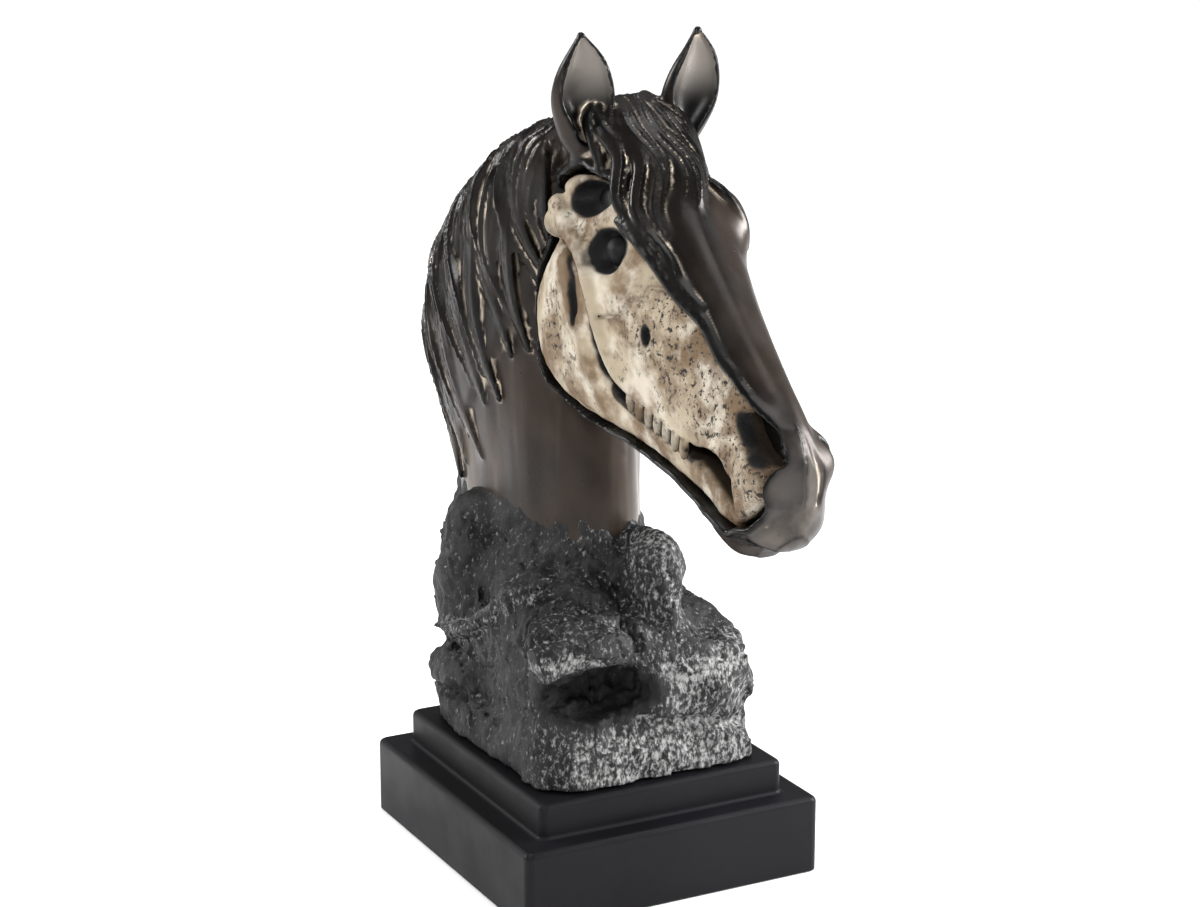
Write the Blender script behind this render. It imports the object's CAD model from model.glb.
# A horse's head on a rock and a stepped plinth. The casting is carved as distance fields on a fine grid,
# with the same forms and sizes as the CAD solid, in millimetres until each mesh is made.

import math

import bpy
import numpy as np
import openvdb
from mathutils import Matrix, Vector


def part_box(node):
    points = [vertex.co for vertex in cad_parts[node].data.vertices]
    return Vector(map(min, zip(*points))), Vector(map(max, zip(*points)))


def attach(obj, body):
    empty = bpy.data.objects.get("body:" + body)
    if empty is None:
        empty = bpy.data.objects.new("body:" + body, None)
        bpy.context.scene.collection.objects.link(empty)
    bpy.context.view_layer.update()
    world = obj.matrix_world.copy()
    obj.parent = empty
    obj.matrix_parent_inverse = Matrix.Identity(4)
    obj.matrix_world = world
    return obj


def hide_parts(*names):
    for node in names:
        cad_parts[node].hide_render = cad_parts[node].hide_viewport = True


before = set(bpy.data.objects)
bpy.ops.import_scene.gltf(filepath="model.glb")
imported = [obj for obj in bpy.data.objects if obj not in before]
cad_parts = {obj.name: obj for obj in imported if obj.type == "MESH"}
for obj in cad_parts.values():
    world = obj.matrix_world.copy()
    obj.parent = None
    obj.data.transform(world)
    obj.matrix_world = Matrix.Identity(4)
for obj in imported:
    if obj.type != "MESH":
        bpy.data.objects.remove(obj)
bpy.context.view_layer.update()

MM = 0.001
CASTING = "horse_head_on_rock"
PLINTH = "stepped_plinth"

# The photograph's view, fitted to the plinth's corners
PHOTO_WIDTH = 1200
FOCAL_PIXELS = 2723
CAMERA_PLACE = (-0.48375, -0.92865, 0.441)
CAMERA_YAW = math.radians(-27.7)
CAMERA_DROP = math.radians(14.8)

# Horse: drawn in millimetres from the middle of the rock's foot
HEAD_SLOPE = math.radians(46)
POLL_BACK = -25
POLL_HEIGHT = 256.6
SLOPE_COS = math.cos(HEAD_SLOPE)
SLOPE_SIN = math.sin(HEAD_SLOPE)

casting_low, casting_high = [np.array(corner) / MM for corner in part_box(CASTING)]
FOOT = casting_low[2]
ROCK_HEIGHT = 88
ROCK_HALF_WIDTH = 48.15
ROCK_HALF_LENGTH = 55.95


# Ways that strands face
LEFT = (1, 0, 0)
RIGHT = (-1, 0, 0)
FRONT = (0, -1, 0)
UP = (0, 0, 1)


# Distance fields

def join(a, b, blend):
    """Joins two distances with a soft seam as wide as the blend."""
    overlap = np.maximum(blend - np.abs(a - b), 0) / blend
    return np.minimum(a, b) - overlap * overlap * blend / 4


def carve(a, b, blend):
    """Takes the second distance away from the first."""
    return -join(-a, b, blend)


def within(a, b, blend):
    """Keeps what lies in both."""
    return -join(-a, -b, blend)


def curve_through(rows):
    """Smooth values through rows of (place, value, value, ...)."""
    table = np.array(rows, float)
    places, values = table[:, 0], table[:, 1:]
    before = np.maximum(np.arange(len(rows)) - 1, 0)
    after = np.minimum(np.arange(len(rows)) + 1, len(rows) - 1)
    slopes = (values[after] - values[before]) / (places[after] - places[before])[:, None]

    def at(place):
        t = np.clip(place, places[0], places[-1])
        i = np.clip(np.searchsorted(places, t, side="right") - 1, 0, len(places) - 2)
        span = places[i + 1] - places[i]
        f = (t - places[i]) / span
        rise = f * f * (3 - 2 * f)
        lead = f * (1 - f) ** 2 * span
        trail = f * f * (f - 1) * span
        return [values[i, k] * (1 - rise) + values[i + 1, k] * rise + slopes[i, k] * lead
                + slopes[i + 1, k] * trail for k in range(values.shape[1])]

    return at


def loft(rows, squareness, taper=0.0):
    """A body along one axis, from rows of (place, low, high, half width), narrower above by the taper."""
    section = curve_through(rows)
    first, last = rows[0][0], rows[-1][0]

    def form(side, along, across):
        low, high, half = section(along)
        depth = (high - low) / 2
        rise = (across - (low + high) / 2) / depth
        width = half * (1 - taper * np.clip(rise, -1, 1))
        ratio = (np.abs(rise) ** squareness + np.abs(side / width) ** squareness) ** (1 / squareness)
        return np.maximum((ratio - 1) * np.minimum(depth, half), np.maximum(first - along, along - last))

    return form


def egg(middle, radii, turn=0.0):
    """An egg with its middle at (x, y, z), turned in the plane of the second and third axes."""
    cos, sin = math.cos(turn), math.sin(turn)

    def form(x, y, z):
        dy, dz = y - middle[1], z - middle[2]
        a = (x - middle[0]) / radii[0]
        b = (dy * cos + dz * sin) / radii[1]
        c = (dz * cos - dy * sin) / radii[2]
        return (np.sqrt(a * a + b * b + c * c) - 1) * min(radii)

    return form


def smooth_path(points, steps):
    """Evenly numbered points along a smooth curve through the given ones."""
    knots = np.array(points, float)
    ends = np.vstack([2 * knots[0] - knots[1], knots, 2 * knots[-1] - knots[-2]])
    t = np.linspace(0, len(knots) - 1, steps + 1)
    i = np.minimum(t.astype(int), len(knots) - 2)
    f = (t - i)[:, None]
    p0, p1, p2, p3 = ends[i], ends[i + 1], ends[i + 2], ends[i + 3]
    return 0.5 * (2 * p1 + (p2 - p0) * f + (2 * p0 - 5 * p1 + 4 * p2 - p3) * f ** 2
                  + (3 * p1 - p0 - 3 * p2 + p3) * f ** 3)


class Strand:
    """A tapered strand along a curve, with half sizes from root to tip and grooves along it."""

    def __init__(self, points, wide, deep, facing, steps=12, grooves=0, groove_depth=0.0, phase=0.0):
        self.knots = smooth_path(points, steps)
        self.widths = curve_through([(i / (len(wide) - 1), wide[i], deep[i]) for i in range(len(wide))])
        self.grooves, self.groove_depth, self.phase = grooves, groove_depth, phase
        reach = max(*wide, *deep)
        self.low = self.knots.min(0) - reach
        self.high = self.knots.max(0) + reach
        ways = np.diff(self.knots, axis=0)
        self.lengths = np.linalg.norm(ways, axis=1)
        self.ways = ways / self.lengths[:, None]
        out = np.array(facing, float) - (self.ways @ np.array(facing, float))[:, None] * self.ways
        self.outs = out / np.linalg.norm(out, axis=1)[:, None]
        self.sides = np.cross(self.ways, self.outs)

    def near(self, x, y, z, margin):
        low, high = self.low - margin, self.high + margin
        return ((x > low[0]) & (x < high[0]) & (y > low[1]) & (y < high[1]) & (z > low[2]) & (z < high[2]))

    def __call__(self, x, y, z):
        points = np.stack([x, y, z], -1)
        best = np.full(len(x), np.inf)
        chosen = np.zeros(len(x), int)
        runs = np.zeros(len(x))
        for i, (start, way, length) in enumerate(zip(self.knots, self.ways, self.lengths)):
            offset = points - start
            along = np.clip(offset @ way, 0, length)
            gap = ((offset - along[:, None] * way) ** 2).sum(-1)
            closer = gap < best
            best[closer] = gap[closer]
            chosen[closer] = i
            runs[closer] = along[closer]
        way = self.ways[chosen]
        offset = points - self.knots[chosen] - runs[:, None] * way
        share = (chosen + runs / self.lengths[chosen]) / len(self.lengths)
        half_wide, half_deep = self.widths(share)
        small = np.minimum(half_wide, half_deep)
        a = (offset * self.sides[chosen]).sum(-1) / half_wide
        if self.grooves:
            swerve = 0.25 * np.sin(5 * share + self.phase)
            wave = np.abs(np.sin(self.grooves * (a + swerve) * math.pi / 2 + self.phase))
            half_deep = half_deep * (1 + self.groove_depth * (wave - 0.75))
        b = (offset * self.outs[chosen]).sum(-1) / half_deep
        c = (offset * way).sum(-1) / small
        return (np.sqrt(a * a + b * b + c * c) - 1) * small


def join_all(shape, strands, blend, x, y, z, margin=3.0):
    """Joins many strands to a distance, each only where it is near."""
    for strand in strands:
        near = strand.near(x, y, z, margin)
        if near.any():
            shape[near] = join(shape[near], strand(x[near], y[near], z[near]), blend)
    return shape


def worked(shape, steps, x, y, z):
    """A distance after a row of steps, each with its way (join or carve), its form and its blend."""
    for way, form, blend in steps:
        shape = way(shape, form(x, y, z), blend)
    return shape


def outline(points, radius):
    """Distance to an outline in a plane, less than nothing inside it, its corners rounded off."""
    corners = np.array(points, float)

    def form(u, v):
        best = np.full(u.shape, np.inf)
        inside = np.zeros(u.shape, bool)
        for a, b in zip(np.roll(corners, 1, axis=0), corners):
            e = b - a
            f = np.clip(((u - a[0]) * e[0] + (v - a[1]) * e[1]) / (e @ e), 0, 1)
            best = np.minimum(best, np.hypot(u - a[0] - e[0] * f, v - a[1] - e[1] * f))
            if a[1] != b[1]:
                crosses = ((a[1] > v) != (b[1] > v)) & (u < a[0] + e[0] * (v - a[1]) / e[1])
                inside ^= crosses
        return np.where(inside, -best, best) - radius

    return form


SEED_ROWS = 4096


def seed_row(x, y, z):
    """The row of a seeded table that belongs to a whole-numbered cell."""
    return ((x * 73856093) ^ (y * 19349663) ^ (z * 83492791)) % SEED_ROWS


def noise(x, y, z, size, seed):
    """Smooth seeded noise between about -1 and 1, with lumps of the given size."""
    table = np.random.default_rng(seed).uniform(-1, 1, SEED_ROWS)
    fx, fy, fz = x / size, y / size, z / size
    ix, iy, iz = [np.floor(f).astype(np.int64) for f in (fx, fy, fz)]
    fx, fy, fz = fx - ix, fy - iy, fz - iz
    sx, sy, sz = [f * f * (3 - 2 * f) for f in (fx, fy, fz)]
    total = np.zeros(x.shape)
    for dx in (0, 1):
        for dy in (0, 1):
            for dz in (0, 1):
                weight = (sx if dx else 1 - sx) * (sy if dy else 1 - sy) * (sz if dz else 1 - sz)
                total += weight * table[seed_row(ix + dx, iy + dy, iz + dz)]
    return total


def facets(x, y, z, size, seed):
    """Chips like hewn stone: each cell of seeded points has a flat face with a slope of its own."""
    random = np.random.default_rng(seed)
    jitter = random.uniform(0.1, 0.9, (SEED_ROWS, 3))
    slopes = random.uniform(-1, 1, (SEED_ROWS, 3))
    places = np.stack([x, y, z], -1) / size
    cell = np.floor(places).astype(np.int64)
    best = np.full(len(x), np.inf)
    height = np.zeros(len(x))
    for dx in (-1, 0, 1):
        for dy in (-1, 0, 1):
            for dz in (-1, 0, 1):
                other = cell + (dx, dy, dz)
                key = seed_row(*other.T)
                offset = places - other - jitter[key]
                gap = (offset * offset).sum(-1)
                closer = gap < best
                best[closer] = gap[closer]
                height[closer] = (offset[closer] * slopes[key[closer]]).sum(-1)
    return height


# The head, at (x, u, v): u runs from the poll to the lips, v from the jaw to the brow,
# and the horse's right side has x below nothing

face = loft([
    (-4, -30, 6, 16), (15, -32, 11, 22), (35, -32, 14.5, 25.5), (58, -31, 17, 28), (76, -31, 18.5, 26.5),
    (96, -33, 21, 23), (116, -34, 23.5, 20), (136, -32, 26, 17.5), (151, -29, 27, 17),
    (163, -26, 25.5, 17.5), (173, -19, 20, 16.5), (181, -12, 10, 12.5), (186, -7, 2, 5),
], 2.4, 0.26)
jaw = loft([
    (25, -62, -12, 22), (35, -75, -10, 28), (47, -83, -10, 31), (62, -87, -10, 31), (80, -80, -10, 28),
    (100, -66, -10, 22.5), (120, -51.5, -10, 18), (140, -41.5, -8, 14.5), (156, -34, -8, 12.5),
    (168, -28, -12, 12), (176, -25, -14, 9.5), (180, -21, -16, 4),
], 3.6)
cheek = egg((15, 58, -50), (12, 30, 30))
brow = egg((20.5, 55.5, 5), (9, 14, 7), -0.15)
temple_hollow = egg((27, 30, 5), (7, 9, 6))
nose_ridge = Strand(
    [(0, 40, 12), (-2, 75, 14.5), (-3, 108, 16.5), (-3, 140, 16.5)],
    (9, 6, 5, 3.5), (8, 7.5, 7, 4.5), UP)
facial_crest = Strand([(27, 68, -12), (25, 86, -14), (20, 104, -13)], (3, 3.5, 2), (3, 3.5, 2), LEFT)
nostril_wing = egg((12, 160, 11), (7, 12, 8.5), 0.35)
nostril_hollow = egg((20, 164, 9), (7, 6.5, 3.8), 0.6)
near_wing = egg((-11, 165, 11), (8, 12, 10), 0.35)
upper_lip = egg((0, 177, -3), (14, 10, 9))
chin = egg((0, 167, -21.5), (11.5, 12.5, 7))
mouth_line = Strand(
    [(12, 184, -12), (15, 172, -14), (16, 158, -14), (16.5, 146, -16)],
    (1.3, 1.5, 1.4, 0.8), (3, 3.5, 3, 1.5), LEFT)
eyeball = egg((22, 58.5, -4.5), (8, 8.5, 7.5))


def lid(lift, wide, deep):
    bulge = 29 - lift * 0.2
    return Strand([(26, 48.5, -5), (bulge, 54.5, lift - 2), (bulge, 61.5, lift - 2.5), (26, 68.5, -6.5)],
                  wide, deep, LEFT)


upper_lid = lid(3, (1.2, 2.2, 2.2, 1.2), (1.6, 2.4, 2.4, 1.4))
lower_lid = lid(-9, (1.2, 1.8, 1.8, 1.2), (1.4, 2, 2, 1.4))

worn_outline = outline([
    (15, -20), (20, -7), (34, 2), (58, 5), (84, 10), (102, 13), (133, 16), (146, 20), (157, 22.5),
    (167, 20), (174, 12), (175, 0), (172, -9), (160, -16), (144, -27), (130, -36), (120, -42), (107, -52),
    (92, -66), (78, -77), (62, -81.5), (46, -78), (36, -68), (31, -52), (28, -42), (22, -38), (17, -32),
], 2.5)
upper_bone = outline([
    (15, -24), (18, -14), (25, -5), (34, 2), (58, 6), (84, 11), (102, 14), (133, 17.5), (142, 21),
    (142, 15), (149, 12), (158, 13), (167, 17), (173, 12), (174, 0), (173, -5), (160, 1), (146, -3),
    (137, -12), (121, -25), (104, -33), (92, -36.5), (82, -32), (66, -22.5), (52, -18.5), (38, -22),
    (26, -29), (18, -31),
], 1)
jaw_bone = outline([
    (31, -36), (40, -31), (49, -27), (60, -27), (69, -31), (79, -39), (91, -44.5), (104, -41.5),
    (118, -34.5), (131, -25), (142, -17), (152, -13), (163, -8), (172, -6), (173, -9), (160, -17),
    (144, -28), (130, -37), (120, -43), (107, -53), (92, -67), (78, -78), (62, -82.5), (46, -79), (36, -68),
    (32, -52),
], 1.5)
cheek_arch = Strand(
    [(-26.5, 22, -25), (-28.5, 33, -21.5), (-29.5, 48, -16.5), (-29, 62, -19), (-27, 76, -27),
     (-23.5, 90, -33), (-20.5, 104, -31)],
    (4.5, 4, 3, 3, 3.2, 3.5, 2), (3, 3, 3, 3, 3, 3, 2), RIGHT)
jaw_joint = egg((-25.5, 26.5, -30), (5.5, 6, 4.5), -0.6)
ramus_ridge = Strand(
    [(-28, 42, -33), (-29.5, 53, -33), (-29, 64, -38), (-26, 78, -46), (-22, 92, -54)],
    (3, 3.2, 3.4, 3.4, 2), (2, 2.6, 2.8, 2.6, 1.5), RIGHT)
ramus_hollow = Strand(
    [(-32, 46, -46), (-32.5, 56, -52), (-31.5, 68, -60), (-28.5, 80, -66)],
    (3.5, 5, 5, 2.5), (2, 3.2, 3, 1.5), RIGHT)
ramus_slit = Strand(
    [(-30.5, 42, -27.5), (-31.5, 52, -28.5), (-31, 61, -33), (-30.5, 67, -38)],
    (0.4, 0.8, 0.8, 0.4), (2, 3, 3, 1.5), RIGHT)
temple_hole = egg((-26, 32.5, -6.5), (13, 12.8, 6.8), 0.93)
socket = egg((-30, 57, -5.5), (14, 10.8, 8.6), 0.95)
socket_ball = egg((-18.5, 57, -6.5), (5.5, 6, 5.2))
cheek_foramen = egg((-23, 93.8, -6.5), (4, 3.4, 1.8), -0.7)
bone_divide = Strand(
    [(-28.5, 34, -28.5), (-29.4, 45, -23), (-29.7, 58, -23), (-28.8, 67, -27.5), (-27, 78, -35.5),
     (-24, 91, -41), (-21, 103, -39.5)],
    (0.6, 0.8, 1, 1, 1, 1.2, 1), (2.5, 3, 3.5, 3.5, 3.5, 3.5, 2.5), RIGHT, 20)
suture = Strand(
    [(-28.5, 71, -27), (-27.6, 77.2, -18.4), (-26.4, 81, -12), (-24.3, 79.6, -4), (-22.2, 83, 1),
     (-20.3, 81, 5), (-17.5, 85.5, 9.2), (-15.3, 89, 12)],
    (0.5, 0.6, 0.6, 0.6, 0.6, 0.6, 0.6, 0.4), (1, 1.2, 1.2, 1.2, 1.2, 1.2, 1.2, 0.8), RIGHT, 40)
nose_opening = egg((-14, 154.5, 18), (10, 13, 4.8), 0.25)
nose_swelling = egg((-9.5, 156, 19), (3, 10, 3.2), 0.25)
diastema = Strand(
    [(-17, 138, -16), (-17, 145, -9.5), (-17, 153, -5), (-17.5, 162, -3)],
    (1.8, 4, 3.8, 1.6), (5, 6, 6, 4), RIGHT)
TOOTH_COUNT = 7
teeth = [
    Strand([(-20.4 + 0.4 * i, 101.5 + 5.3 * i, -34.3 + 3.2 * i),
            (-20.2 + 0.4 * i, 103.5 + 5.3 * i, -37 + 3.2 * i),
            (-19.8 + 0.4 * i, 105.5 + 5.3 * i, -39.5 + 3.2 * i)], (1.5, 1.75, 1.3), (1.6, 1.8, 1.3),
           RIGHT, 4)
    for i in range(TOOTH_COUNT)
]
gum_gap = Strand(
    [(-22, 97, -41), (-21, 110, -34), (-20, 123, -26), (-18.5, 137, -17.5)],
    (1.6, 3.2, 3.2, 2.4), (4, 5, 5, 5), RIGHT)
near_mouth = Strand(
    [(-16, 175, -7), (-9, 181.5, -8), (0, 184, -8.5), (8, 182.5, -9), (13, 179, -11.5)],
    (0.8, 1.3, 1.3, 1.3, 1), (2.4, 3.2, 3.2, 3.2, 2.5), (0, 1, 0), 20)
muzzle_creases = [
    Strand(
        [(-8, 148, 26), (-5.5, 158, 27), (-4, 167, 24), (-6, 174, 18), (-8, 179, 9)],
        (0.8, 1.4, 1.6, 1.4, 0.7), (1.2, 2, 2.2, 2, 1), UP, 20),
    Strand(
        [(-12, 165, 21), (-11, 172, 17), (-11, 177, 10), (-11, 180, 3)],
        (0.8, 1.3, 1.3, 0.7), (1, 1.6, 1.6, 1), (-0.5, 0.6, 0.6), 16),
    Strand(
        [(4, 158, 27.5), (6, 166, 24), (8, 173, 18), (7, 179, 10)],
        (0.8, 1.5, 1.5, 0.7), (1, 2, 2, 1), (0.2, 0.4, 0.8), 16),
]
far_nostril = Strand(
    [(14, 158, 19), (16.5, 163, 15), (17, 169, 11), (14, 172, 8)],
    (1, 2.2, 2.6, 1.2), (2, 4, 4, 2), (1, 0.3, 0.4), 16)
face_locks = [
    Strand(
        [(-21, 50, 3), (-18.5, 72, 11), (-15.5, 90, 12.5), (-12.5, 106, 17), (-12, 122, 17.5),
         (-9.5, 138, 22)],
        (2, 2.8, 2.4, 2, 1.7, 0.7), (2, 2.2, 2, 1.8, 1.5, 0.6), (-0.6, 0, 0.8), 24, 3, 0.35, 0.8),
    Strand(
        [(-18, 56, 10), (-15, 74, 15), (-14.5, 88, 15), (-11, 100, 18.5)],
        (1.6, 2.2, 1.9, 0.7), (1.6, 2, 1.6, 0.6), (-0.5, 0, 0.85), 18, 2, 0.35, 2.1),
]
brow_fold = Strand(
    [(13, 38, 12.5), (19, 48, 14), (25, 58, 9), (27, 66, 2)],
    (0.8, 1.8, 1.8, 0.8), (1, 1.8, 1.8, 1), (0.6, 0, 0.8), 16)
WORN_DEPTH = 9
LIP_HEIGHT = 1.7


def to_head(y, z):
    """The place along and above the head's slope."""
    dy, dz = y - POLL_BACK, z - POLL_HEIGHT
    return -dy * SLOPE_COS - dz * SLOPE_SIN, -dy * SLOPE_SIN + dz * SLOPE_COS


def skin_form(x, u, v):
    """The head as if whole, before the eye, mouth and worn side."""
    shape = join(face(x, u, v), jaw(x, u, v), 7)
    shape = join_all(shape, [nose_ridge], 6, x, u, v, 8)
    whole = x > -8
    part = [coordinate[whole] for coordinate in (x, u, v)]
    side = worked(shape[whole], ((join, cheek, 8), (join, brow, 6), (carve, temple_hollow, 5)), *part)
    side = join_all(side, [facial_crest], 4, *part, 6)
    shape[whole] = join(side, nostril_wing(*part), 4)
    shape = join_all(shape, [brow_fold], 2, x, u, v, 4)
    return worked(shape, ((join, near_wing, 5), (join, upper_lip, 4), (join, chin, 4)), x, u, v)


def head_flesh(x, u, v, skin):
    """The living head, with a shallow bed where the bone shows."""
    shape = skin.copy()
    muzzle = u > 140
    if muzzle.any():
        part = [coordinate[muzzle] for coordinate in (x, u, v)]
        front = carve(shape[muzzle], near_mouth(*part), 1.2)
        for crease in (*muzzle_creases, far_nostril):
            front = carve(front, crease(*part), 1.5)
        shape[muzzle] = front
    left = x > 0
    part = [coordinate[left] for coordinate in (x, u, v)]
    shape[left] = worked(shape[left], (
        (carve, nostril_hollow, 1.5), (carve, mouth_line, 1), (join, eyeball, 0.6), (join, upper_lid, 1.2),
        (join, lower_lid, 1.2),
    ), *part)
    right = ~left
    worn = worn_outline(u[right], v[right])
    side = shape[right]
    wave = 1.3 * noise(x[right], u[right], v[right], 8, 3)
    lip = within(side - LIP_HEIGHT, np.abs(worn - 1.4 + wave) - 1.5, 1.2)
    side = join(side, lip, 1.5)
    bed = np.maximum(np.maximum(worn + wave, -skin[right] - WORN_DEPTH), x[right] + 3)
    shape[right] = carve(side, bed, 1)
    return shape


def bone_form(x, u, v, skin):
    """The skull and jaw that show on the worn side."""
    bone = within(skin + 0.8, upper_bone(u, v), 2.5)
    bone = join_all(bone, [cheek_arch], 2.5, x, u, v, 4)
    bone = worked(bone, (
        (carve, temple_hole, 2), (carve, socket, 2), (join, socket_ball, 0.8), (carve, cheek_foramen, 0.8),
        (carve, suture, 0.4), (carve, nose_opening, 1.2), (join, nose_swelling, 0.8),
    ), x, u, v)
    lower = within(skin + 1.6, jaw_bone(u, v), 2.5)
    lower = join(lower, jaw_joint(x, u, v), 3)
    lower = join_all(lower, [ramus_ridge], 2.5, x, u, v, 4)
    lower = worked(lower, ((carve, ramus_hollow, 3), (carve, ramus_slit, 0.8)), x, u, v)
    bone = join(bone, lower, 0.6)
    bone = worked(bone, ((carve, bone_divide, 0.8), (carve, gum_gap, 0.6), (carve, diastema, 0.8)), x, u, v)
    bone = join_all(bone, teeth, 0.4, x, u, v)
    rough = noise(x, u, v, 5, 21) + 0.5 * noise(x, u, v, 2.3, 22)
    bone = bone + 0.25 * rough
    return within(bone, np.maximum(-skin - WORN_DEPTH - 2, x + 2), 1)


# The neck: (height, throat, crest, half width)
neck_along = loft([
    (40, -16, 90, 36), (79, -19, 95, 30), (104, -19, 98, 28.5), (129, -15, 100, 31), (154, -8, 101, 33.5),
    (179, -6, 94, 34), (204, -11, 76, 31.5), (224, -19, 54, 27.5), (240, -28, 29, 22), (251, -34, 4, 14),
    (256, -34, -14, 7),
], 2.1)


def neck_form(x, y, z):
    return neck_along(x, z, y)


def last_inside(inner, outer, rounds, place_at):
    """The value from inner towards outer at which its place leaves the neck, by halving."""
    for _ in range(rounds):
        middle = (inner + outer) / 2
        if neck_form(*[np.array([value]) for value in place_at(middle)])[0] < 0:
            inner = middle
        else:
            outer = middle
    return inner


def neck_side(y, z, sign):
    """How far out the side of the neck is at a place."""
    if neck_form(np.zeros(1), np.array([y]), np.array([z]))[0] > 0:
        return 0.0
    return sign * last_inside(0.0, 60.0, 16, lambda out: (sign * out, y, z))


parting = curve_through([
    (0, -24, 254), (0.2, 2, 249), (0.4, 32, 236), (0.6, 63, 213), (0.8, 90, 181), (1, 98, 150),
])
lock_ends = curve_through([
    (0, -10, 214), (0.2, 0, 172), (0.4, 15, 148), (0.6, 30, 126), (0.8, 54, 96), (1, 88, 100),
])


def mane_lock(start, end, length, half_wide, half_deep, sign, bend=0.0, phase=0.0, grooves=5):
    """A lock that leaves the parting at one share and ends at another, waving sideways by its bend."""
    root_y, root_z = parting(start)
    end_y, end_z = lock_ends(end)
    points = []
    for step in np.linspace(0, 1, 9):
        run = step * length
        swing = 8 * math.sin(math.pi * run)
        wave = bend * math.sin(2 * math.pi * 1.3 * run + phase) * min(4 * step, 1)
        y = float(root_y + (end_y - root_y) * run + swing * 0.9 + wave)
        z = float(root_z + (end_z - root_z) * run + swing)
        lift = half_deep * (0.9 - 0.7 * step)
        points.append((neck_side(y, z, sign) + sign * lift, y, z))
    wide = [share * half_wide for share in (0.5, 0.9, 1, 0.75, 0.2)]
    deep = [share * half_deep for share in (0.7, 1, 1, 0.8, 0.3)]
    return Strand(points, wide, deep, (sign, 0.25, 0.1), 18, grooves, 0.3, phase)


NEAR_LOCKS = 19
FAR_LOCKS = 13
BRONZE_FOOT = 72
HEAD_LOWEST = 88
FIRST_LOCK = 0.07
locks = []
for i in range(NEAR_LOCKS):
    share = FIRST_LOCK + (1 - FIRST_LOCK) * i / (NEAR_LOCKS - 1)
    length = (1, 0.8, 0.93, 0.7)[i % 4]
    locks.append(mane_lock(share, share, length, 8.5 + i % 3, 3.6 + i % 2, -1, 2.2, i * 1.7))
    locks.append(mane_lock(share + 0.02, share + 0.03, 0.9 * length, 3.2, 5.2 + 0.5 * (i % 3), -1, 3,
                           i * 2.3, 2))
    if i % 2 == 0:
        locks.append(mane_lock(share + 0.01, share + 0.05, 0.6, 5.5, 5.4, -1, 3, i * 1.1, 3))
for i in range(FAR_LOCKS):
    share = i / (FAR_LOCKS - 1)
    locks.append(mane_lock(share, share, 0.86 if i % 2 else 0.68, 8.5, 3.2, 1, 2, i * 1.3))
    locks.append(mane_lock(share + 0.03, share + 0.04, 0.58, 3, 4.2, 1, 3, i * 2.1, 2))

CREST_LOCKS = 20


def crest_place(x, share, lift):
    """A place over the crest, at the given lift along the way the crest faces."""
    y, z = parting(share)
    way_y, way_z = 0.2 + 0.8 * share, 1 - 0.8 * share
    reach = last_inside(-15.0, 25.0, 14, lambda out: (x, y + way_y * out, z + way_z * out)) + lift
    return x, float(y + way_y * reach), float(z + way_z * reach)


def crest_lock(share, sign, phase):
    """A lock that starts on the crest and falls over to one side."""
    points = [crest_place(sign * (15 * step ** 1.2 + math.sin(phase + 4 * step) - 2),
                          min(share + 0.15 * step, 1), 1.2)
              for step in np.linspace(0, 1, 7)]
    return Strand(points, (2.5, 6, 6.5, 5, 1.5), (1.5, 3, 3.2, 2.6, 1),
                  (0, 0.2 + 0.8 * share, 1 - 0.8 * share),
                  18, 4, 0.32, phase)


for i in range(CREST_LOCKS):
    locks.append(crest_lock(0.03 + 0.92 * i / (CREST_LOCKS - 1), -1 if i % 2 else 1, i * 1.9))

mane_area = outline([
    (-20, 262), (6, 258), (36, 246), (68, 222), (98, 188), (112, 150), (104, 122), (86, 122), (62, 116),
    (42, 136), (24, 158), (8, 180), (-2, 208), (-8, 232),
], 2)

far_mane_area = outline([
    (-20, 262), (6, 258), (36, 246), (68, 222), (98, 188), (112, 150), (110, 132), (94, 146), (76, 174),
    (50, 200), (24, 216), (0, 232),
], 2)


def hair_area(x, y, z):
    """How far outside the mane a place on either side of the neck is."""
    return np.where(x > 0, far_mane_area(y, z), mane_area(y, z))


FORELOCK_PATHS = [
    [(3, 0, 7), (0, 20, 14), (7, 40, 18.5), (1, 64, 17.5), (-2, 96, 20)],
    [(0, 0, 7), (-4, 18, 15), (2, 42, 20), (-4, 62, 17), (-6, 84, 17.5)],
    [(-3, 0, 7), (-8, 18, 14), (-4, 36, 18), (-11, 56, 14), (-9, 74, 15.5)],
    [(-5, 0, 6), (-12, 16, 12.5), (-9, 34, 15.5), (-16, 52, 11), (-13, 68, 13.5)],
    [(-7, 0, 5), (-15, 13, 10), (-14, 28, 11.5), (-19, 44, 6), (-16, 60, 9.5)],
    [(-8, -4, 4), (-17, 8, 7.5), (-18, 18, 5.5), (-20, 29, 2)],
    [(4, 0, 7), (7, 18, 14), (12, 34, 14.5), (9, 52, 15)],
    [(6, 0, 7), (12, 14, 11), (14, 26, 12), (19, 38, 9)],
    [(8, -2, 6), (15, 12, 8.5), (17, 24, 9), (21, 32, 6)],
    [(1, 2, 10), (-2, 22, 17), (4, 44, 21), (-1, 66, 19)],
    [(-5, 4, 9), (-9, 20, 16), (-6, 40, 18), (-12, 58, 14.5)],
]
forelock = [
    Strand(points, (3.2, 5.2, 5, 3.8, 0.9), (3, 4.4, 4, 3, 1), UP, 18, 3, 0.32, i * 1.9)
    for i, points in enumerate(FORELOCK_PATHS)
]


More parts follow.
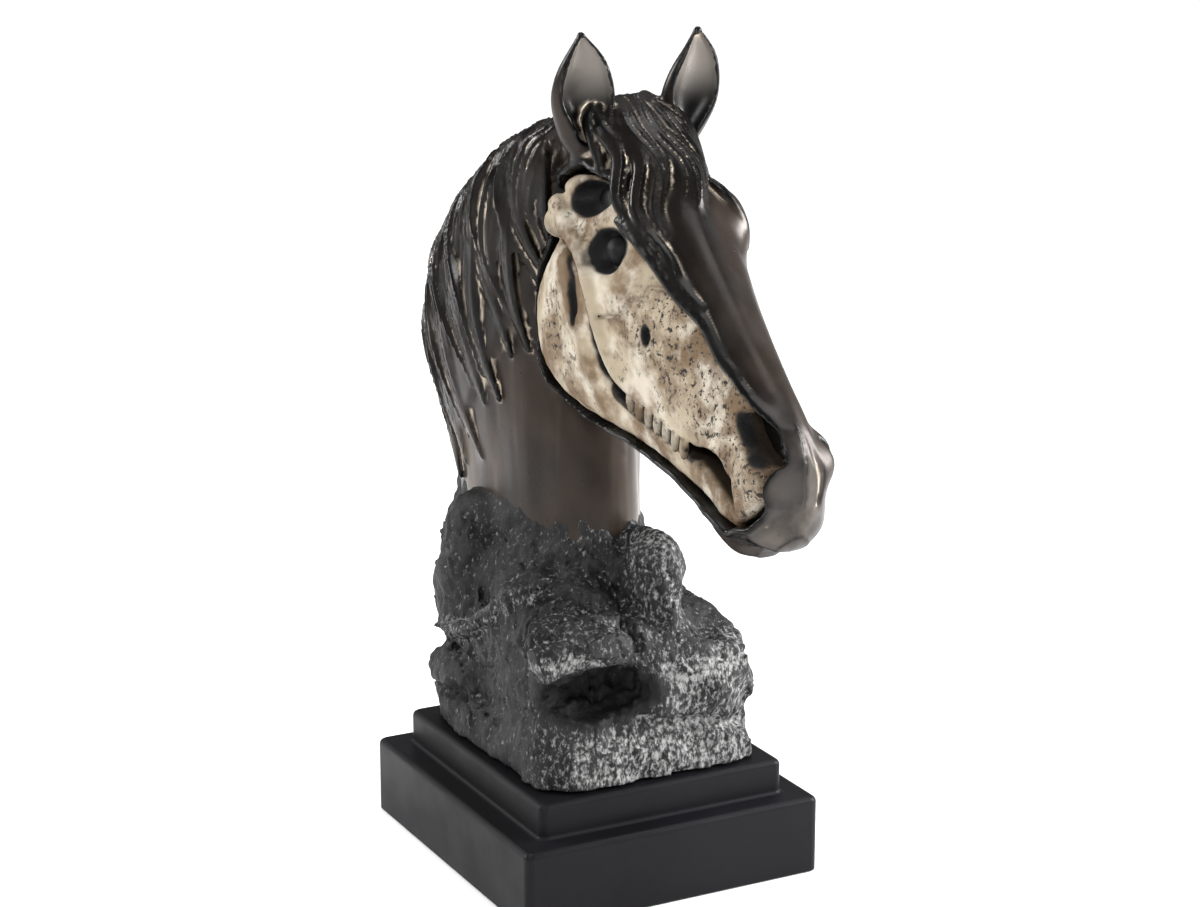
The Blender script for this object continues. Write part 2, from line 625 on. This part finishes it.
def ear(sign):
    """A leaf and the hollow that is carved out of its front."""
    root_y, tip_y = (-28, -38) if sign < 0 else (-31, -40)

    def axis(forward):
        return [(sign * 18, root_y - forward, 243), (sign * 20, root_y - 3 - forward, 252),
                (sign * 22 + 0.8, root_y - 6 - forward * 0.8, 264.5),
                (sign * 23.5 + 1, tip_y + 1 - forward * 0.4, 277), (sign * 24, tip_y, 288)]

    facing = (sign * 0.25 - 0.1, -1, 0.2)
    leaf = Strand(axis(0), (5.5, 9.5, 12, 9, 1.6), (6, 7.5, 7, 5, 1.6), facing, 20)
    hollow = Strand(axis(6.5)[1:], (4.5, 9.6, 6.8, 0.6), (5, 7.2, 4.2, 0.6), facing, 20)
    return leaf, hollow


ears = [ear(-1), ear(1)]


def bronze_field(x, y, z):
    """Everything of the horse but its bones."""
    shape = neck_form(x, y, z) + 0.75 * noise(x, y, z * 0.13, 8, 31)
    top = z > HEAD_LOWEST
    tx, ty, tz = x[top], y[top], z[top]
    u, v = to_head(ty, tz)
    skin = skin_form(tx, u, v)
    flesh = head_flesh(tx, u, v, skin)
    neck = shape[top]
    bony = (tx < 0) & (worn_outline(u, v) < 5)
    both = join(neck, flesh, np.where(bony, 0.5, 7.0))
    for leaf, _ in ears:
        both = join_all(both, [leaf], 3, tx, ty, tz, 5)
    for _, hollow in ears:
        near = hollow.near(tx, ty, tz, 3)
        both[near] = carve(both[near], hollow(tx[near], ty[near], tz[near]), 0.8)
    both = join_all(both, forelock + face_locks, 1.0, tx, u, v)
    shape[top] = both
    shape = join(shape, within(neck_form(x, y, z) - 2.6, hair_area(x, y, z), 4), 2)
    return np.maximum(join_all(shape, locks, 0.7, x, y, z), BRONZE_FOOT - z)


def bone_field(x, y, z):
    u, v = to_head(y, z)
    skin = skin_form(x, u, v)
    return bone_form(x, u, v, skin)


# The rock, with its forms placed by shares of its half width, half length and height

def rock_egg(share_x, share_y, share_z, radius_x, radius_y, radius_z):
    return egg((share_x * ROCK_HALF_WIDTH, share_y * ROCK_HALF_LENGTH, share_z * ROCK_HEIGHT),
               (radius_x * ROCK_HALF_WIDTH, radius_y * ROCK_HALF_LENGTH, radius_z * ROCK_HEIGHT))


def block_distance(dx, dy, dz, radius):
    """Distance to a block with round edges, from how far out a place is past each pair of its sides."""
    outside = np.sqrt(np.maximum(dx, 0) ** 2 + np.maximum(dy, 0) ** 2 + np.maximum(dz, 0) ** 2)
    return outside + np.minimum(np.maximum(np.maximum(dx, dy), dz), 0) - radius


def rock_block(share_x, share_y, low_share, high_share, radius):
    half = np.array([share_x * ROCK_HALF_WIDTH - radius, share_y * ROCK_HALF_LENGTH - radius,
                     (high_share - low_share) / 2 * ROCK_HEIGHT - radius])
    middle = (low_share + high_share) / 2 * ROCK_HEIGHT

    def form(x, y, z):
        return block_distance(np.abs(x) - half[0], np.abs(y) - half[1], np.abs(z - middle) - half[2], radius)

    return form


rock_lumps = [rock_egg(*sizes) for sizes in (
    (-0.02, 0.62, 0.72, 0.78, 1.06, 0.3), (-0.62, 0.74, 0.62, 0.4, 0.34, 0.24),
    (-0.45, -0.15, 0.66, 0.48, 0.62, 0.2), (-0.6, -0.8, 0.66, 0.42, 0.3, 0.085),
    (0.42, -0.8, 0.37, 0.52, 0.27, 0.17), (0.2, -0.58, 0.84, 0.2, 0.26, 0.2),
    (-0.83, 0.62, 0.23, 0.2, 0.38, 0.14), (-0.68, 0.72, 0.96, 0.22, 0.24, 0.13),
    (0.72, 0.3, 0.34, 0.28, 0.4, 0.16), (0.1, 0.92, 0.3, 0.5, 0.2, 0.2),
)]
rock_cuts = [rock_egg(*sizes) for sizes in (
    (0.72, -1.0, 0.78, 0.5, 0.42, 0.24), (-0.42, -1.02, 0.46, 0.35, 0.34, 0.12),
    (-1.14, 0.22, 0.68, 0.3, 0.36, 0.17), (-1.04, 0.5, 0.37, 0.17, 0.5, 0.045),
    (1.25, 0.2, 0.74, 0.5, 0.9, 0.22), (0.45, 1.2, 0.62, 0.4, 0.3, 0.16),
)]
rock_foot = rock_block(1, 1, -0.4, 0.24, 17)
rock_body = rock_block(0.92, 0.96, 0, 0.7, 18)


def tilted_block(middle, half, tilt, radius):
    """A block with round edges, turned about the way it faces."""
    cosine, sine = math.cos(tilt), math.sin(tilt)

    def form(x, y, z):
        dx, dz = x - middle[0], z - middle[2]
        along = np.abs(dx * cosine + dz * sine) - half[0] + radius
        across = np.abs(y - middle[1]) - half[1] + radius
        over = np.abs(dz * cosine - dx * sine) - half[2] + radius
        return block_distance(along, across, over, radius)

    return form


rock_slab = tilted_block((-33, -48.5, 54.5), (17, 9.5, 4.6), 0.2, 1.4)
rock_scoop = egg((46, -57, 69), (25, 30, 22.5))
rock_cave = egg((-27, -57, 36), (22, 19, 9))
rock_ridges = [
    Strand([(2, -49, 43), (16, -55, 42), (31, -53, 44), (42, -45, 50)], (2, 3, 3, 2), (3, 4, 4, 3), FRONT),
    Strand(
        [(-46, 50, 39), (-47, 17, 47), (-45, -10, 65), (-36, -30, 78)],
        (2, 3, 3, 2), (3, 4, 4, 3), RIGHT),
]
rock_grooves = [
    Strand(
        [(-52, -52, 61), (-33, -56, 66), (-14, -53, 66), (-8, -50, 54)],
        (2, 3, 3, 2), (4, 6, 6, 4), FRONT),
    Strand([(-8, -57, 25), (17, -60, 19), (44, -54, 15)], (2, 3, 2), (4, 5, 4), FRONT),
    Strand([(-51, 60, 12), (-51, 9, 19), (-49, -30, 26)], (2, 3, 2), (4, 6, 4), RIGHT),
]


def waves(x, y, z, wide, deep, high):
    """Crossed waves with a length for each axis."""
    lean = 0.6 * np.sin(z / high)
    return np.sin(x / wide + lean) * np.sin(y / deep + 1.3) * np.sin(z / high + x / deep)


def rock_field(x, y, z):
    shape = join(rock_foot(x, y, z), rock_body(x, y, z), 8)
    for lump in rock_lumps:
        shape = join(shape, lump(x, y, z), 7)
    for cut in rock_cuts:
        shape = carve(shape, cut(x, y, z), 4)
    broken = 1.3 * waves(x, y, z, 9.1, 11.3, 8.2) + 0.6 * waves(x, y, z, 4.7, 5.9, 4.1)
    shape = shape - broken - 0.9
    collar = neck_form(x, y, z) - 2.2 + 0.2 * np.maximum(z - 82, 0) + 0.9 * noise(x, y, z * 0.8, 7, 8)
    shape = join(shape, np.maximum(collar, z - 112), 6)
    near = np.abs(shape) < 9
    px, py, pz = x[near], y[near], z[near]
    close = join_all(shape[near], rock_ridges, 3, px, py, pz, 4)
    close = carve(carve(close, rock_scoop(px, py, pz), 2), rock_cave(px, py, pz), 2)
    for groove in rock_grooves:
        close = carve(close, groove(px, py, pz), 3)
    close = join(close, rock_slab(px, py, pz), 1.5)
    chips = 1.4 * noise(px, py, pz, 13, 9) + 0.9 * noise(px, py, pz * 0.8, 6, 13)
    chips += 1.0 * facets(px, py, pz * 0.8, 11, 10) + 0.7 * facets(px, py, pz * 0.6, 4.2, 11)
    chips += 0.55 * noise(px, py, pz * 0.7, 2.2, 12)
    shape[near] = close + chips * np.clip((106 - pz) / 24, 0.2, 1)
    return np.maximum(shape, -z)


# Meshing

MOST_TRIANGLES = 185000
BRONZE_BOX = ((-52, -162, 38), (52, 112, 292))
BRONZE_VOXEL = 0.95
BONE_BOX = ((-36, -163, 114), (0, 4, 252))
BONE_VOXEL = 0.6
ROCK_BOX = ((-56, -64, -1), (56, 110, 116))
ROCK_VOXEL = 0.8


def grid_cells(counts):
    """Every whole-numbered cell of a grid."""
    return np.stack(np.meshgrid(*[np.arange(n) for n in counts], indexing="ij"), -1).reshape(-1, 3)


def sculpt(field, low, high, voxel):
    """Meshes a field, sampled finely only in the coarse cells that its surface may cross."""
    fine = 4
    coarse = voxel * fine
    counts = np.ceil((np.array(high) - np.array(low)) / coarse).astype(int) + 1
    index = grid_cells(counts)
    middles = np.array(low) + (index + 0.5) * coarse
    rough = field(*middles.T)
    active = np.abs(rough) < coarse * 0.9 + 3.0
    background = 3 * voxel
    dense = np.where(rough < 0, -background, background).reshape(counts).astype(np.float32)
    dense = dense.repeat(fine, 0).repeat(fine, 1).repeat(fine, 2)
    steps = grid_cells([fine] * 3)
    cells = (index[active][:, None, :] * fine + steps[None]).reshape(-1, 3)
    places = np.array(low) + (cells + 0.5) * voxel
    values = np.empty(len(cells), np.float32)
    chunk = 400000
    for start in range(0, len(cells), chunk):
        values[start:start + chunk] = field(*places[start:start + chunk].T)
    dense[tuple(cells.T)] = np.clip(values, -background, background)
    grid = openvdb.FloatGrid(background)
    grid.copyFromArray(dense)
    points, triangles, quads = grid.convertToPolygons(isovalue=0.0, adaptivity=0.0)
    points = np.array(low) + (points.astype(float) + 0.5) * voxel
    return points, quads[:, ::-1]


def keep_largest(points, quads):
    """Drops crumbs and sealed hollows."""
    label = np.arange(len(points))
    while True:
        lowest = label[quads].min(1)
        fresh = label.copy()
        for k in range(4):
            np.minimum.at(fresh, quads[:, k], lowest)
        fresh = fresh[fresh]
        if (fresh == label).all():
            break
        label = fresh
    names, sizes = np.unique(label, return_counts=True)
    kept = label == names[sizes.argmax()]
    number = np.cumsum(kept) - 1
    return points[kept], number[quads[kept[quads[:, 0]]]]


def point_normals(points, quads):
    corners = points[quads]
    facing = np.cross(corners[:, 2] - corners[:, 0], corners[:, 3] - corners[:, 1])
    total = np.zeros_like(points)
    for k in range(4):
        np.add.at(total, quads[:, k], facing)
    return total / np.maximum(np.linalg.norm(total, axis=1, keepdims=True), 1e-12)


def smoothed(values, quads, rounds):
    """Values averaged with their neighbours a number of times."""
    pairs = np.concatenate([quads[:, [k, (k + 1) % 4]] for k in range(4)])
    count = np.bincount(pairs.ravel(), minlength=len(values)).astype(float)
    out = values.astype(float)
    for _ in range(rounds):
        total = np.zeros_like(out)
        for axis in range(out.shape[1]):
            total[:, axis] = (np.bincount(pairs[:, 0], out[pairs[:, 1], axis], len(out))
                              + np.bincount(pairs[:, 1], out[pairs[:, 0], axis], len(out)))
        out = 0.4 * out + 0.6 * total / count[:, None]
    return out


def stay_inside(points):
    """Eases what would stand out of the CAD solid's box back into it."""
    ease = 1.5
    for axis in range(3):
        for limit, sign in ((casting_low[axis] + 0.05, -1), (casting_high[axis] - 0.05, 1)):
            beyond = sign * (points[:, axis] - limit) + ease
            out = beyond > 0
            points[out, axis] = limit + sign * (ease * (1 - np.exp(-beyond[out] / ease)) - ease)
    return points


def mesh_piece(name, points, quads, attributes, material):
    """A smooth-shaded piece from points in millimetres."""
    mesh = bpy.data.meshes.new(name)
    mesh.vertices.add(len(points))
    mesh.vertices.foreach_set("co", (points * MM).astype(np.float32).ravel())
    mesh.loops.add(quads.size)
    mesh.loops.foreach_set("vertex_index", quads.astype(np.int32).ravel())
    mesh.polygons.add(len(quads))
    mesh.polygons.foreach_set("loop_start", np.arange(0, quads.size, 4, dtype=np.int32))
    mesh.polygons.foreach_set("use_smooth", np.ones(len(quads), bool))
    mesh.update(calc_edges=True)
    mesh.validate()
    for key, values in attributes.items():
        mesh.attributes.new(key, "FLOAT", "POINT").data.foreach_set("value", values.astype(np.float32))
    mesh.materials.append(material)
    piece = bpy.data.objects.new(name, mesh)
    bpy.context.collection.objects.link(piece)
    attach(piece, "root")
    return piece


def lighten(piece):
    """Thins a piece's mesh to the most triangles it may have, flattest places first."""
    piece.data.calc_loop_triangles()
    thinning = piece.modifiers.new("thinning", "DECIMATE")
    thinning.ratio = min(1.0, MOST_TRIANGLES / len(piece.data.loop_triangles))
    graph = bpy.context.evaluated_depsgraph_get()
    thinned = bpy.data.meshes.new_from_object(piece.evaluated_get(graph))
    piece.modifiers.clear()
    piece.data = thinned
    thinned.calc_loop_triangles()
    print(piece.name, len(thinned.loop_triangles), "triangles")


def sculpted_piece(name, field, box, voxel, material, paint):
    """A field's surface as a piece, with what its material needs to know at each point."""
    points, quads = sculpt(field, *box, voxel)
    points, quads = keep_largest(points, quads)
    points = smoothed(points, quads, 1) * 0.5 + points * 0.5
    normals = point_normals(points, quads)
    attributes = {
        "ridge": ((points - smoothed(points, quads, 4)) * normals).sum(1),
        "form": ((points - smoothed(points, quads, 30)) * normals).sum(1),
    }
    attributes.update(paint(points))
    points[:, 2] += FOOT
    points = stay_inside(points)
    piece = mesh_piece(name, points, quads, attributes, material)
    lighten(piece)
    return piece


# Materials

class Nodes:
    """Short ways to add and join a material's nodes."""

    def __init__(self, name):
        self.material = bpy.data.materials.new(name)
        self.material.use_nodes = True
        self.tree = self.material.node_tree
        self.shader = self.tree.nodes["Principled BSDF"]
        self.place = self.add("ShaderNodeTexCoord").outputs["Object"]

    def add(self, kind, **settings):
        node = self.tree.nodes.new(kind)
        for key, value in settings.items():
            setattr(node, key, value)
        return node

    def link(self, source, target):
        if isinstance(source, (int, float)):
            target.default_value = source
        elif isinstance(source, tuple):
            target.default_value = (*source, 1.0) if len(source) == 3 else source
        else:
            self.tree.links.new(source, target)

    def attribute(self, name):
        return self.add("ShaderNodeAttribute", attribute_name=name).outputs["Fac"]

    def noise(self, scale, detail=3.0, roughness=0.55, stretch=(1, 1, 1)):
        mapping = self.add("ShaderNodeMapping")
        mapping.inputs["Scale"].default_value = stretch
        self.link(self.place, mapping.inputs["Vector"])
        node = self.add("ShaderNodeTexNoise")
        self.link(mapping.outputs["Vector"], node.inputs["Vector"])
        node.inputs["Scale"].default_value = scale
        node.inputs["Detail"].default_value = detail
        node.inputs["Roughness"].default_value = roughness
        return node.outputs["Fac"]

    def step(self, source, low, high, start=0.0, end=1.0):
        """A smooth rise from start to end as the source goes from low to high."""
        node = self.add("ShaderNodeMapRange", interpolation_type="SMOOTHSTEP")
        self.link(source, node.inputs["Value"])
        node.inputs["From Min"].default_value = low
        node.inputs["From Max"].default_value = high
        node.inputs["To Min"].default_value = start
        node.inputs["To Max"].default_value = end
        return node.outputs["Result"]

    def math(self, operation, a, b=0.0):
        node = self.add("ShaderNodeMath", operation=operation)
        self.link(a, node.inputs[0])
        self.link(b, node.inputs[1])
        return node.outputs[0]

    def times(self, a, b):
        return self.math("MULTIPLY", a, b)

    def mix(self, factor, a, b):
        node = self.add("ShaderNodeMix", data_type="RGBA")
        self.link(factor, node.inputs["Factor"])
        self.link(a, node.inputs["A"])
        self.link(b, node.inputs["B"])
        return node.outputs["Result"]

    def surface(self, colour, roughness, specular):
        self.link(colour, self.shader.inputs["Base Color"])
        self.link(roughness, self.shader.inputs["Roughness"])
        self.shader.inputs["Specular IOR Level"].default_value = specular

    def bump(self, height, strength, distance):
        node = self.add("ShaderNodeBump")
        node.inputs["Strength"].default_value = strength
        node.inputs["Distance"].default_value = distance
        self.link(height, node.inputs["Height"])
        self.link(node.outputs["Normal"], self.shader.inputs["Normal"])


def bronze_material():
    nodes = Nodes("bronze_patina")
    patches = nodes.step(nodes.noise(20, 4), 0.38, 0.64)
    colour = nodes.mix(patches, (0.0035, 0.003, 0.0028), (0.012, 0.0085, 0.0065))
    smooth = nodes.times(nodes.attribute("plain"), nodes.step(nodes.noise(26, 3), 0.3, 0.7, 0.35, 1.0))
    colour = nodes.mix(smooth, colour, (0.034, 0.024, 0.0185))
    folds = nodes.step(nodes.noise(48, 3, 0.55, (1, 1, 0.09)), 0.46, 0.66, 0.0, 0.8)
    folds = nodes.times(folds, nodes.times(nodes.attribute("plain"), nodes.attribute("neck")))
    colour = nodes.mix(folds, colour, (0.095, 0.073, 0.057))
    sheen = nodes.times(nodes.step(nodes.noise(42, 4), 0.42, 0.66, 0.0, 0.6), nodes.attribute("muzzle"))
    colour = nodes.mix(sheen, colour, (0.15, 0.13, 0.115))
    worn = nodes.times(nodes.step(nodes.attribute("form"), 0.3, 1.6), nodes.attribute("plain"))
    colour = nodes.mix(worn, colour, (0.17, 0.148, 0.13))
    ear_rise = nodes.step(nodes.attribute("height"), 0.25, 0.8)
    inner_ear = nodes.mix(ear_rise, (0.004, 0.004, 0.004), (0.2, 0.18, 0.16))
    colour = nodes.mix(nodes.attribute("ear"), colour, inner_ear)
    colour = nodes.mix(nodes.attribute("edge"), colour, (0.006, 0.005, 0.0045))
    streaks = nodes.step(nodes.noise(60, 4, 0.6, (1, 1, 0.3)), 0.4, 0.62, 0.1, 1.0)
    rubbed = nodes.times(nodes.step(nodes.attribute("ridge"), 0.07, 0.28), streaks)
    colour = nodes.mix(rubbed, colour, (0.66, 0.56, 0.44))
    deep = nodes.step(nodes.attribute("ridge"), -0.2, -0.03, 1.0, 0.0)
    colour = nodes.mix(deep, colour, (0.002, 0.002, 0.002))
    nodes.surface(colour, nodes.step(nodes.noise(55, 3), 0.3, 0.7, 0.26, 0.42), 0.27)
    nodes.shader.inputs["Metallic"].default_value = 0.3
    nodes.bump(nodes.noise(600, 2), 0.1, 0.0003)
    return nodes.material


def bone_material():
    nodes = Nodes("painted_bone")
    patches = nodes.step(nodes.noise(38, 5, 0.62), 0.4, 0.6)
    colour = nodes.mix(patches, (0.39, 0.325, 0.235), (0.15, 0.098, 0.055))
    colour = nodes.mix(nodes.step(nodes.noise(70, 4), 0.46, 0.66, 0, 0.8), colour, (0.58, 0.53, 0.44))
    stain = nodes.times(nodes.attribute("pitted"), nodes.step(nodes.noise(95, 5, 0.7), 0.44, 0.6, 0, 0.7))
    colour = nodes.mix(stain, colour, (0.15, 0.1, 0.06))
    pits = nodes.step(nodes.noise(420, 4, 0.75), 0.545, 0.6)
    scattered = nodes.step(nodes.noise(60, 3), 0.52, 0.62, 0.0, 0.7)
    pits = nodes.times(pits, nodes.math("MAXIMUM", nodes.attribute("pitted"), scattered))
    colour = nodes.mix(pits, colour, (0.02, 0.016, 0.012))
    rubbed = nodes.step(nodes.attribute("ridge"), 0.06, 0.4, 0.0, 0.85)
    colour = nodes.mix(rubbed, colour, (0.68, 0.63, 0.54))
    deep = nodes.step(nodes.attribute("ridge"), -0.3, -0.03, 1.0, 0.0)
    colour = nodes.mix(deep, colour, (0.03, 0.022, 0.016))
    edge = nodes.step(nodes.attribute("form"), -1.3, 0.0, 0.8, 0.0)
    colour = nodes.mix(edge, colour, (0.07, 0.045, 0.028))
    colour = nodes.mix(nodes.attribute("sunk"), colour, (0.022, 0.015, 0.010))
    colour = nodes.mix(nodes.attribute("hollow"), colour, (0.007, 0.007, 0.0075))
    nodes.surface(colour, 0.58, 0.2)
    nodes.bump(nodes.math("SUBTRACT", nodes.noise(160, 4, 0.7), pits), 0.55, 0.0006)
    return nodes.material


def rock_material():
    nodes = Nodes("painted_rock")
    colour = nodes.mix(nodes.step(nodes.noise(40, 4), 0.35, 0.65), (0.005, 0.005, 0.005), (0.02, 0.02, 0.02))
    grain = nodes.noise(700, 4, 0.7, (1, 1, 0.6))
    paint = nodes.math("ADD", grain, nodes.times(nodes.attribute("ridge"), 0.4))
    paint = nodes.math("ADD", paint, nodes.times(nodes.attribute("brushed"), 0.34))
    brushed = nodes.step(paint, 0.62, 0.9, 0.0, 0.85)
    colour = nodes.mix(brushed, colour, (0.4, 0.4, 0.395))
    deep = nodes.step(nodes.attribute("ridge"), -0.3, -0.06, 0.9, 0.0)
    colour = nodes.mix(deep, colour, (0.002, 0.002, 0.002))
    colour = nodes.mix(nodes.attribute("cave"), colour, (0.002, 0.002, 0.002))
    nodes.surface(colour, 0.6, 0.25)
    nodes.bump(grain, 0.8, 0.0008)
    return nodes.material


def plinth_material():
    nodes = Nodes("satin_black")
    patches = nodes.step(nodes.noise(9, 4), 0.35, 0.7)
    colour = nodes.mix(patches, (0.003, 0.0028, 0.0035), (0.007, 0.0065, 0.0085))
    nodes.surface(colour, nodes.step(nodes.noise(30, 3), 0.3, 0.7, 0.38, 0.5), 0.14)
    nodes.bump(nodes.noise(260, 3), 0.1, 0.0003)
    return nodes.material


def rock_paint(points):
    """How much light paint is brushed on: most on the ledges and the front, least in the hollows."""
    x, y, z = points.T
    ledges = np.minimum(rock_slab(x, y, z), np.min([ridge(x, y, z) for ridge in rock_ridges], axis=0) - 1)
    lumps = np.min([rock_lumps[k](x, y, z) for k in (4, 5)], axis=0)
    front = np.clip((-y - 30) / 18, 0, 1)
    band = front * np.clip((24 - z) / 8, 0, 1) * np.clip((x + 42) / 8, 0, 1)
    brushed = 0.16 + 0.2 * front + 0.3 * np.clip(1 - ledges / 3.5, 0, 1)
    brushed += 0.22 * np.clip(1 - lumps / 4, 0, 1)
    brushed += 0.25 * band + 0.25 * np.clip((z - 80) / 16, 0, 1) * np.clip((-y) / 20, 0, 1)
    open_face = np.clip((rock_cave(x, y, z) - 1.2) / 3, 0, 1)
    open_face = np.where(ledges < 0.8, 1.0, open_face)
    return {"brushed": np.clip(brushed, 0, 1) * open_face, "cave": 1 - open_face}


def bronze_paint(points):
    """Where the bronze is bare and not hair, inside an ear, or along the worn side's edge."""
    x, y, z = points.T
    u, v = to_head(y, z)
    plain = np.clip(0.5 + hair_area(x, y, z) / 14, 0, 1)
    upper = (u < 142) & (z > 140) & (v > -12)
    hair = np.full(upper.sum(), 9.0)
    for strand in forelock + face_locks:
        near = strand.near(x[upper], u[upper], v[upper], 4)
        hair[near] = np.minimum(hair[near], strand(x[upper][near], u[upper][near], v[upper][near]))
    plain[upper] *= np.clip(hair / 5, 0, 1)
    inner = np.zeros(len(x))
    high = z > 240
    for _, hollow in ears:
        depth = hollow(x[high], y[high], z[high])
        inner[high] = np.maximum(inner[high], np.clip(1.2 - depth, 0, 1))
    edge = np.clip(1.25 - worn_outline(u, v) / 5, 0, 1) * (x < 2) * (z > 100)
    muzzle = np.clip((u - 146) / 12, 0, 1) * np.clip((v + 9) / 8, 0, 1)
    height = np.clip((z - 250) / 34, 0, 1)
    neck = np.clip((y + 25) / 10, 0, 1) * np.clip((205 - z) / 30, 0, 1)
    return {"plain": plain, "ear": inner, "height": height, "edge": edge, "muzzle": muzzle, "neck": neck}


def hollow_paint(points):
    """One in the eye socket, temple and nose openings, for their dark paint."""
    x, y, z = points.T
    u, v = to_head(y, z)
    flat_socket = np.maximum(socket(np.full_like(x, -30.0), u, v) + 0.5, 0)
    depth = np.minimum(flat_socket + (v < -18) * 9.0, temple_hole(x, u, v))
    depth = np.minimum(depth, np.minimum(nose_opening(x, u, v), nose_swelling(x, u, v) - 0.5))
    depth = np.minimum(depth, cheek_foramen(x, u, v))
    depth = np.minimum(depth, diastema(x, u, v) + 0.4)
    tooth = np.min([form(x, u, v) for form in teeth], axis=0)
    gaps = np.minimum(gum_gap(x, u, v) + 0.3, np.minimum(bone_divide(x, u, v), ramus_slit(x, u, v)))
    depth = np.minimum(depth, np.where(tooth < 0.5, 9.0, gaps))
    upper = np.clip(0.5 + (v + 16 - 0.12 * (u - 80)) / 10, 0, 1) * np.clip((u - 70) / 20, 0, 1)
    ramus = np.clip(1.2 - ramus_hollow(x, u, v) / 3, 0, 1)
    gums = np.clip(1.6 - gum_gap(x, u, v) / 2.5, 0, 1)
    sunk = np.clip((-skin_form(x, u, v) - 2.7 + 2.0 * gums) / (1.5 - gums), 0, 1) * (tooth > 0.4)
    return {"hollow": np.clip((0.75 - depth) / 0.5, 0, 1), "sunk": sunk, "pitted": np.maximum(upper, ramus)}


bronze = sculpted_piece("horse_in_bronze", bronze_field, BRONZE_BOX, BRONZE_VOXEL, bronze_material(),
                        bronze_paint)
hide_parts(CASTING)
sculpted_piece("exposed_skull", bone_field, BONE_BOX, BONE_VOXEL, bone_material(), hollow_paint)
sculpted_piece("rough_rock", rock_field, ROCK_BOX, ROCK_VOXEL, rock_material(), rock_paint)
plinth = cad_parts[PLINTH]
plinth.data.materials.clear()
plinth.data.materials.append(plinth_material())


# Stage, lights and camera

def add_light(name, kind, place, aim, power):
    """A light at a place, turned towards its aim."""
    data = bpy.data.lights.new(name, kind)
    data.energy = power
    light = bpy.data.objects.new(name, data)
    light.location = place
    way = np.array(aim) - np.array(place)
    tilt = math.atan2(math.hypot(way[0], way[1]), -way[2])
    light.rotation_euler = (tilt, 0, math.atan2(way[0], -way[1]) + math.pi)
    bpy.context.collection.objects.link(light)
    return data


def disk_light(name, place, power):
    data = add_light(name, "AREA", place, (0, -0.03, 0.2), power)
    data.shape = "DISK"
    data.size = 0.5


def sun_light(name, place, spread, strength):
    add_light(name, "SUN", place, (0, 0, 0), strength).angle = math.radians(spread)


def studio():
    bpy.context.scene.view_settings.view_transform = "Standard"
    floor_mesh = bpy.data.meshes.new("pale_floor")
    half = 6.0
    corners = [(-half, -half, 0), (half, -half, 0), (half, half, 0), (-half, half, 0)]
    floor_mesh.from_pydata(corners, [], [(0, 1, 2, 3)])
    floor = bpy.data.objects.new("pale_floor", floor_mesh)
    bpy.context.collection.objects.link(floor)
    paper = Nodes("pale_paper")
    paper.shader.inputs["Base Color"].default_value = (0.95, 0.95, 0.95, 1)
    paper.shader.inputs["Roughness"].default_value = 0.9
    floor_mesh.materials.append(paper.material)
    world = bpy.data.worlds.new("studio")
    world.use_nodes = True
    tree = world.node_tree
    ambient = tree.nodes["Background"]
    ambient.inputs["Color"].default_value = (1, 1, 1, 1)
    ambient.inputs["Strength"].default_value = 0.22
    backdrop = tree.nodes.new("ShaderNodeBackground")
    backdrop.inputs["Color"].default_value = (1, 1, 1, 1)
    seen = tree.nodes.new("ShaderNodeLightPath")
    both = tree.nodes.new("ShaderNodeMixShader")
    tree.links.new(seen.outputs["Is Camera Ray"], both.inputs["Fac"])
    tree.links.new(ambient.outputs[0], both.inputs[1])
    tree.links.new(backdrop.outputs[0], both.inputs[2])
    tree.links.new(both.outputs[0], tree.nodes["World Output"].inputs["Surface"])
    bpy.context.scene.world = world
    sun_light("overhead", (0.15, 0.1, 1), 50, 2.2)
    sun_light("front_left", (-0.75, -0.8, 0.75), 16, 1.7)
    disk_light("right_rim", (1.0, -0.45, 0.5), 25)
    disk_light("back_left", (-0.9, 0.9, 0.8), 14)


def photo_camera():
    data = bpy.data.cameras.new("photo_view")
    data.sensor_width = 36
    data.lens = FOCAL_PIXELS / PHOTO_WIDTH * data.sensor_width
    data.clip_start = 0.01
    camera = bpy.data.objects.new("photo_view", data)
    camera.location = CAMERA_PLACE
    camera.rotation_euler = (math.pi / 2 - CAMERA_DROP, 0, CAMERA_YAW)
    bpy.context.collection.objects.link(camera)
    bpy.context.scene.camera = camera


studio()
photo_camera()
